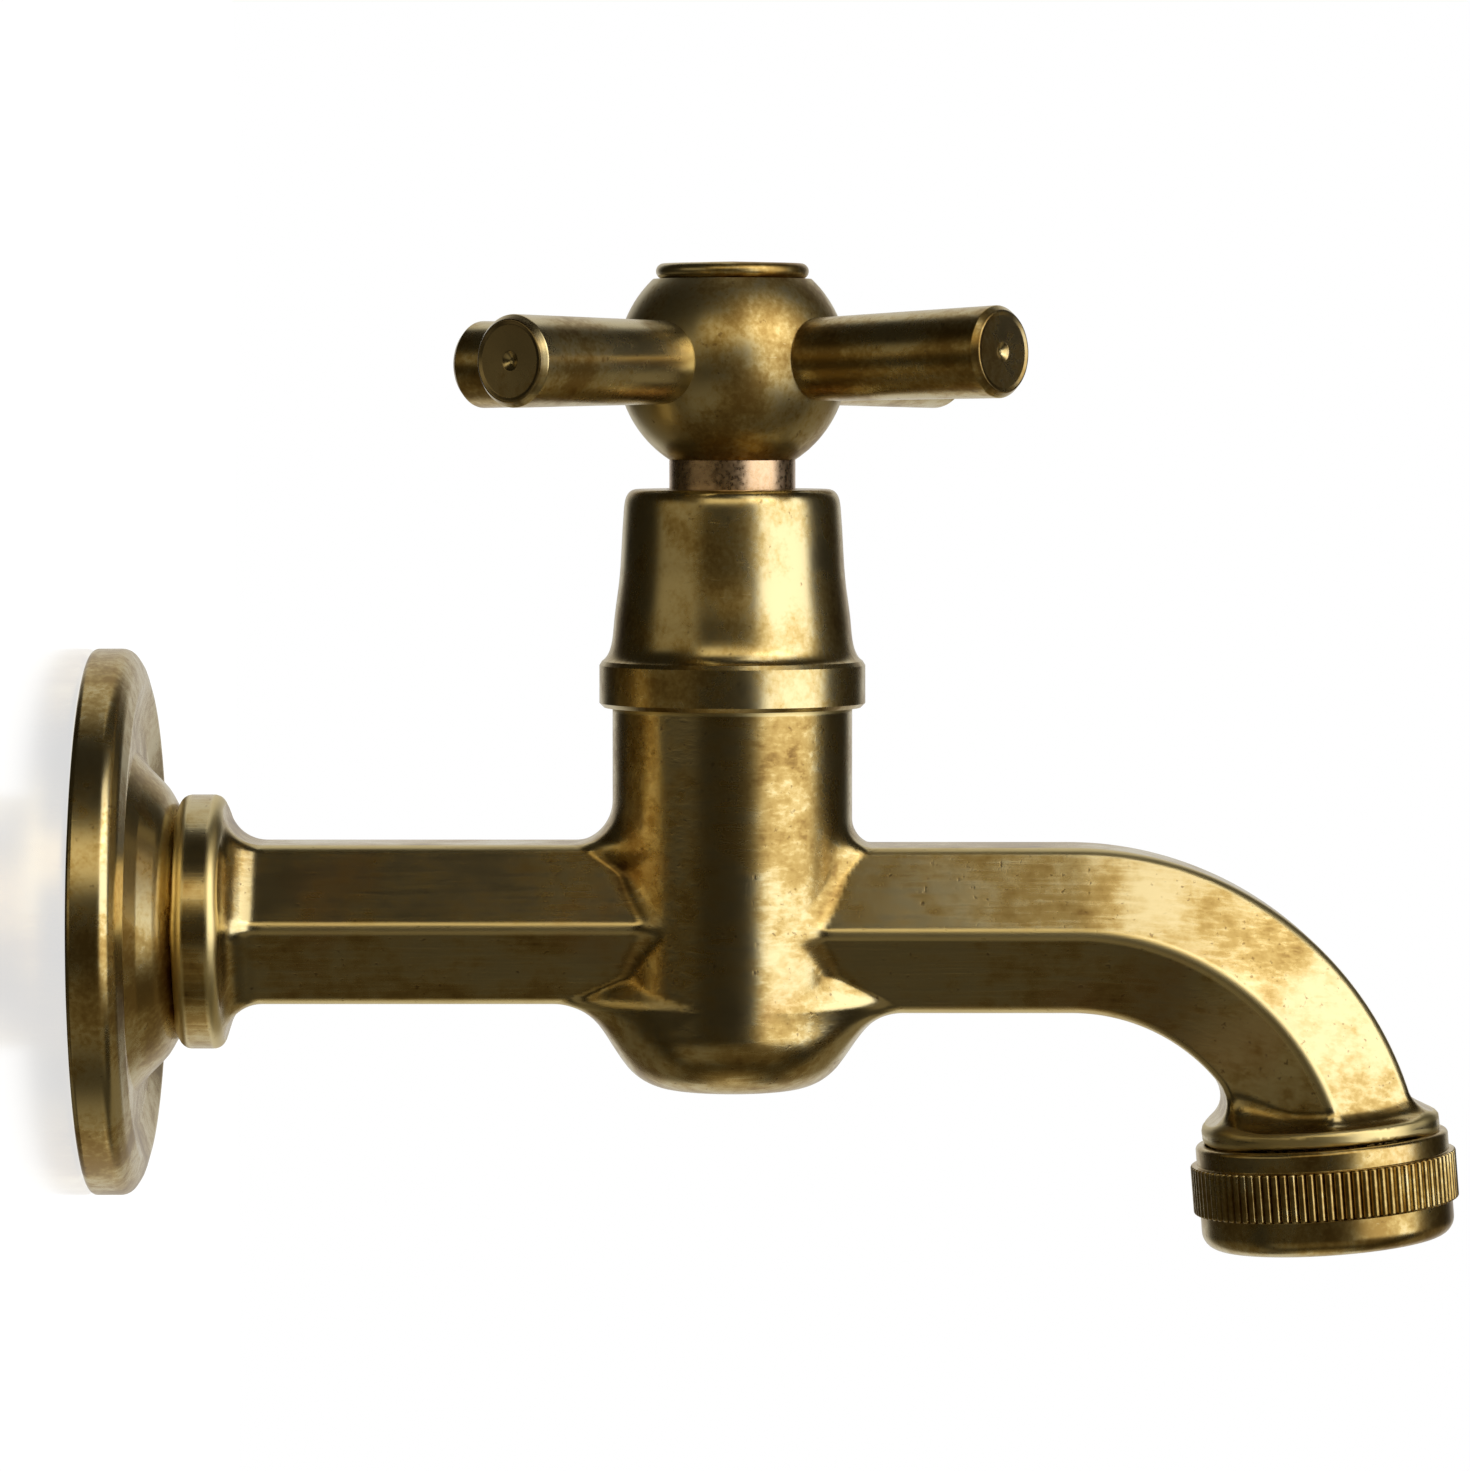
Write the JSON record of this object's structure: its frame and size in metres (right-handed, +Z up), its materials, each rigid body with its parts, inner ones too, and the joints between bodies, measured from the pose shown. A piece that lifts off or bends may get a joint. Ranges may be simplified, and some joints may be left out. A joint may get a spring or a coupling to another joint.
{
  "type": "hose bib",
  "caption": "Wall-mounted brass tap: threaded inlet with round flange, hexagonal barrel and down-turned spout, ball and cross handle, knurled outlet nut.",
  "frame": {"origin": "on the inlet axis in the plane of the wall, where the flange rim sits", "axes": "+X out of the wall towards the spout, +Z up along the valve axis, handle on top; +Y completes the right-handed frame"},
  "size_m": [0.1735, 0.0654, 0.1131],
  "materials": {
    "cast_brass": "cast and filed, brown patina in the hollows",
    "turned_brass": "turned and brushed, antique patina",
    "bright_brass": "bare turned brass, bright",
    "raw_brass": "plain machined, not patinated",
    "rubber": "black rubber",
    "packing": "white packing, waxy",
    "steel": "stainless, fine grain",
    "white_plastic": "moulded, satin"
  },
  "bodies": {
    "tap_body": {"body": "cast_brass", "wall_flange": "turned_brass", "headwork": "raw_brass", "headwork_gasket": "rubber", "bonnet": "turned_brass", "gland_packing": "packing", "gland_follower": "raw_brass", "gland_nut": "raw_brass"},
    "jumper": {"jumper_valve": "raw_brass", "jumper_washer": "rubber", "jumper_nut": "raw_brass"},
    "handle": {"spindle": "raw_brass", "spindle_sleeve": "bright_brass", "handle_hub": "turned_brass", "handle_arm_1": "turned_brass", "handle_arm_2": "turned_brass", "handle_arm_3": "turned_brass", "handle_arm_4": "turned_brass", "handle_screw": "steel", "handle_cap": "turned_brass"},
    "outlet_insert": {"outlet_washer": "rubber", "flow_insert": "white_plastic", "outlet_screen": "steel"},
    "outlet_nut": {"outlet_nut": "turned_brass"}
  },
  "joints": [
    {"name": "valve_lift", "type": "slide", "parent": "tap_body", "child": "jumper", "axis": [0, 0, 1], "range_m": [0, 0.00501]},
    {"name": "handle_turn", "type": "hinge", "parent": "jumper", "child": "handle", "pos_m": [0.07315, 0, 0], "axis": [0, 0, 1], "range_deg": [0, 900]},
    {"name": "insert_drop", "type": "slide", "parent": "tap_body", "child": "outlet_insert", "axis": [0.0802, 0, -0.9968], "range_m": [0, 0.00545]},
    {"name": "nut_turn", "type": "hinge", "parent": "outlet_insert", "child": "outlet_nut", "pos_m": [0.14072, 0, -0.0247], "axis": [0.0802, 0, -0.9968], "range_deg": [0, 1080]}
  ],
  "couplings": [
    {"joint": "valve_lift", "follows": "handle_turn", "m_per_rad": 0.00031831},
    {"joint": "insert_drop", "follows": "nut_turn", "m_per_rad": 0.00028871}
  ]
}
